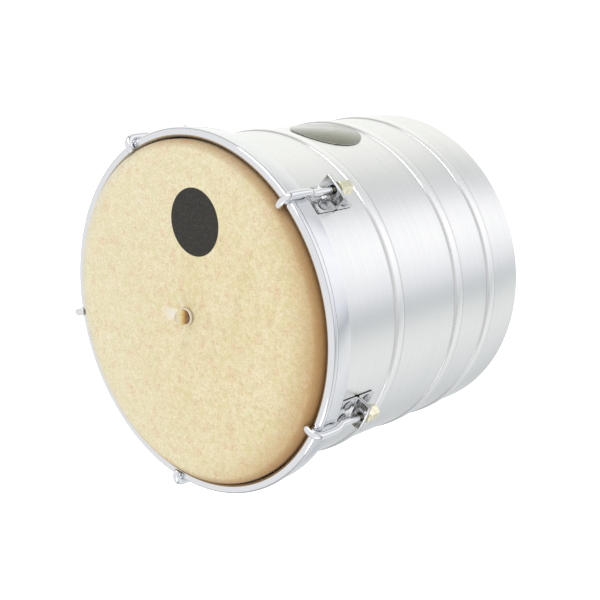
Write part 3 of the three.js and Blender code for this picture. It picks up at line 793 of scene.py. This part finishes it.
# %% Plain disc
DISC_X, DISC_Y, DISC = -7.9, -56.5, 20.0      # its middle and its radius
centred = add(tree, "Mapping", {"Vector": place, "Location": (-DISC_X * MM, -DISC_Y * MM, 0),
                                "Scale": (1, 1, 0)})
off = add(tree, "VectorMath", {0: centred.outputs[0]}, operation="LENGTH").outputs["Value"]
edge = add(tree, "Math", {0: grain, 1: 0.0004, 2: off}, operation="MULTIPLY_ADD").outputs[0]
ink = add(tree, "MapRange", {"Value": edge, "From Min": (DISC + 0.2) * MM,
                             "From Max": (DISC - 0.1) * MM, "To Max": 0.98})
on_face = add(tree, "Math", {0: height, 1: (SKIN_TOP - SKIN / 2) * MM}, operation="GREATER_THAN")
ink = add(tree, "Math", {0: ink.outputs[0], 1: on_face.outputs[0]}, operation="MULTIPLY")
black = add(tree, "ValToRGB", {"Fac": grain}, [(0.35, "#0C0C0E"), (0.55, "#1A1A1C"),
                                               (0.75, "#4A4740")]).outputs[0]
inked = painted(tree, with_pleat_marks_and_highlights, (ink.outputs[0], black))
dull = add(tree, "MapRange", {"Value": blotch, "To Min": 0.5, "To Max": 0.68})
fine = add(tree, "Bump", {"Strength": 0.35, "Distance": 0.00012, "Height": grain})
broad = add(tree, "Bump", {"Strength": 0.3, "Distance": 0.0003, "Height": blotch,
                           "Normal": fine.outputs[0]})
feed(tree, shader, Base_Color=inked, Roughness=dull.outputs[0], Normal=broad.outputs[0])

# %% [markdown]
# ## Cane, thread and foil
# Cane has long parallel fibres under a thin gloss, drawn half a millimetre apart. The thread is
# twisted from plies and waxed. The foil is dark anodised aluminium with a satin face under clear
# lacquer, and its cut edge is bright.

# %% Cane
cane, tree, shader, place = finish("cane", Specular_IOR_Level=0.4, Roughness=0.42)
long_way = add(tree, "Mapping", {"Vector": place, "Scale": (1, 1, 0.02)})
fibre = add(tree, "TexNoise", {"Vector": long_way.outputs[0], "Scale": 1800.0,
                               "Detail": 2.0}).outputs["Fac"]
straw = add(tree, "ValToRGB", {"Fac": fibre}, [(0.3, "#B98E50"), (0.55, "#D0A868"),
                                               (0.75, "#DDBB80")]).outputs[0]
bump = add(tree, "Bump", {"Strength": 0.4, "Distance": 0.00008, "Height": fibre})
feed(tree, shader, Base_Color=straw, Normal=bump.outputs[0])

# %% Waxed thread
thread, tree, shader, place = finish("waxed_thread", Roughness=0.55, Specular_IOR_Level=0.4)
plies = add(tree, "TexWave", {"Vector": place, "Scale": 420.0, "Distortion": 1.5},
            bands_direction="DIAGONAL").outputs["Fac"]
flax = add(tree, "ValToRGB", {"Fac": plies}, [(0.2, "#D9CDBB"), (0.7, "#F6EEE2")]).outputs[0]
bump = add(tree, "Bump", {"Strength": 0.5, "Distance": 0.00008, "Height": plies})
feed(tree, shader, Base_Color=flax, Normal=bump.outputs[0])

# %% Anodised foil
foil, tree, shader, place = finish("anodised_foil", Metallic=1.0, Coat_Weight=0.8, Coat_Roughness=0.08)
satin = add(tree, "TexNoise", {"Vector": place, "Scale": 500.0, "Detail": 4.0}).outputs["Fac"]
tone = add(tree, "ValToRGB", {"Fac": satin}, [(0.35, "#69695A"), (0.7, "#7C7C6D")]).outputs[0]
level = add(tree, "Mapping", {"Vector": place, "Scale": (1, 1, 0)}).outputs[0]
outward = add(tree, "VectorMath", {0: level}, operation="LENGTH").outputs["Value"]
cut_edge = add(tree, "MapRange", {"Value": outward, "From Min": (foot + 0.45) * MM,
                                  "From Max": (foot + 0.3) * MM})
toned = painted(tree, tone, (cut_edge.outputs[0], "#C9C9BF"))
rough = add(tree, "MapRange", {"Value": satin, "To Min": 0.16, "To Max": 0.28})
feed(tree, shader, Base_Color=toned, Roughness=rough.outputs[0])

# %% [markdown]
# ## Putting the pieces in place
# Each piece rides on a body of the model, so it moves where the real one moves, and replaces the
# plain solid that stood for it. The five sets of hook, nut, washer, bracket and rivets are copies,
# each with its own mesh, turned about the drum's axis by a fifth of a turn.

# %% Place single pieces
def place_piece(piece, body, slot, material, *nodes, back=None):
    """Gives a piece its material, its body and the solids that it stands for."""
    if back:
        piece.data.materials[0], piece.data.materials[1] = material, back
    else:
        piece.data.materials.clear()
        piece.data.materials.append(material)
    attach(piece, body)
    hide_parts(*nodes)

place_piece(shell_sheet, "shell", "shell", aluminium, "shell")
place_piece(round_plate, "shell", "foil", foil, "badge_plate")
place_piece(hoop_rod, "rim", "chrome", chrome_rod, "hoop_wire")
place_piece(hoop_strip, "rim", "chrome", chrome_sheet, "hoop_band")
place_piece(skin_hide, "head", "hide", hide, "skin")
place_piece(flesh_wire, "head", "steel", steel, "flesh_hoop")
place_piece(tie_thread, "head", "thread", thread, "tie")
place_piece(stick_cane, "stick", "cane", cane, "stick")

# %% Place the five sets
def copy_at(pattern, name, degrees, shift=(0, 0, 0)):
    """A copy with its own mesh, shifted in mm and then turned about the drum's axis."""
    copy = pattern.copy()
    copy.data = pattern.data.copy()
    copy.name = copy.data.name = name
    bpy.context.collection.objects.link(copy)
    turn = Matrix.Rotation(math.radians(degrees), 4, "Z")
    copy.matrix_world = turn @ Matrix.Translation(Vector(shift) * MM)
    only(copy)
    bpy.ops.object.transform_apply()
    return copy

HOOKS, FIRST_HOOK = 5, 9                      # the first one's place in degrees from +X
ACROSS, UP = 4.8, 8.2                         # a rivet from the middle of its bracket
spots = [(s * ACROSS, PLATE_Z + u * UP) for s in (-1, 1) for u in (-1, 1)]
for k in range(1, HOOKS + 1):
    angle = FIRST_HOOK + 360 / HOOKS * (k - 1)
    place_piece(copy_at(hook_rod, f"hook_rod_{k}", angle), f"hook_{k}", "chrome", chrome_rod,
                f"hook_{k}")
    place_piece(copy_at(hex_nut, f"hex_nut_{k}", angle), f"nut_{k}", "zinc", zinc, f"nut_{k}")
    place_piece(copy_at(washer_ring, f"washer_ring_{k}", angle), "shell", "zinc", zinc,
                f"washer_{k}")
    place_piece(copy_at(bracket_strip, f"bracket_strip_{k}", angle), "shell", "chrome", nickel,
                f"bracket_{k}", back=recess_shade)
    for i, (y, z) in enumerate(spots, 1):
        pin_copy = copy_at(rivet_pin, f"rivet_pin_{k}_{i}", angle, (0, y, z))
        place_piece(pin_copy, "shell", "steel", steel, f"rivet_{k}_{i}")
for pattern in (hook_rod, hex_nut, washer_ring, bracket_strip, rivet_pin):
    bpy.data.objects.remove(pattern)

# %% [markdown]
# ## Floor and light
# The photograph is lit so evenly that the white ground shows no shadow. A floor that glows a little
# does the same. Metal shows nothing but its surroundings, so the surroundings are drawn on purpose.
# Below is the white table with greyer stretches, where the gaps between the studio's panels show in
# it. Round the horizon runs a greyer belt, and above it is a white tent with two soft boxes.

# %% Floor
floor = start_piece("floor", bpy.ops.mesh.primitive_plane_add, size=12, location=(0, 0, -0.0004))
paper = finish("white_paper", Base_Color=linear("#F4F4F4"), Roughness=0.9,
               Emission_Color=(1, 1, 1, 1), Emission_Strength=0.85)[0]
floor.data.materials.append(paper)
floor.visible_glossy = False
print("floor is", round(floor.dimensions.x), "m wide")

# %% Surroundings
world = bpy.data.worlds.new("studio")
bpy.context.scene.world = world
world.use_nodes = True
tree = world.node_tree
way = add(tree, "TexCoord").outputs["Generated"]
compass = add(tree, "TexGradient", {"Vector": way}, gradient_type="RADIAL").outputs["Fac"]
panels = add(tree, "ValToRGB", {"Fac": compass}, [
    (0.0, "#E4E5E9"), (0.05, "#F8F8FB"), (0.09, "#FEFEFF"), (0.138, "#F6F6FA"), (0.179, "#D1D2D5"),
    (0.224, "#CDD0CF"), (0.268, "#E5E5E3"), (0.335, "#F3F4EF"), (0.5, "#F5F6F3"), (0.69, "#BBBEC1"),
    (0.735, "#CBCED0"), (0.868, "#E6E7E7"), (0.913, "#DFE1E0"), (0.957, "#B9BEC2"),
    (1.0, "#E4E5E9")]).outputs[0]
rise = add(tree, "SeparateXYZ", {0: way}).outputs["Z"]
tier = add(tree, "MapRange", {"Value": rise, "From Min": -1.0, "From Max": 1.0}).outputs[0]
tiers = add(tree, "ValToRGB", {"Fac": tier}, [
    (0.0, "#FFFFFF"), (0.42, "#FFFFFF"), (0.48, "#A0A0A0"), (0.52, "#A0A0A0"), (0.57, "#F2F2F2"),
    (1.0, "#F2F2F2")]).outputs[0]
strength = add(tree, "Math", {0: tiers, 1: 1.22}, operation="MULTIPLY").outputs[0]
tent = add(tree, "MapRange", {"Value": rise, "From Min": -0.05, "From Max": 0.05}).outputs[0]
under = add(tree, "MapRange", {"Value": rise, "From Min": -0.93, "From Max": -0.985}).outputs[0]
plain = add(tree, "Math", {0: tent, 1: under}, operation="MAXIMUM").outputs[0]
around = painted(tree, panels, (plain, "#F2F2F2"))
feed(tree, tree.nodes["Background"], Color=around, Strength=strength)

# %% Soft lights
def softbox(name, at, wide, high, watts):
    """A rectangular area light that points at the middle of the drum."""
    data = bpy.data.lights.new(name, "AREA")
    data.shape = "RECTANGLE"
    data.size, data.size_y, data.energy = wide, high, watts
    lamp = bpy.data.objects.new(name, data)
    bpy.context.collection.objects.link(lamp)
    lamp.location = at
    lamp.rotation_euler = (Vector((0, 0, 0.12)) - lamp.location).to_track_quat("-Z", "Y").to_euler()
    print(name, "light of", watts, "W")

softbox("key", (-0.2, -1.35, 0.6), 1.2, 0.5, 4)
softbox("fill", (-0.6, 1.2, 0.7), 0.7, 0.7, 1.6)
bpy.context.scene.view_settings.view_transform = "Standard"
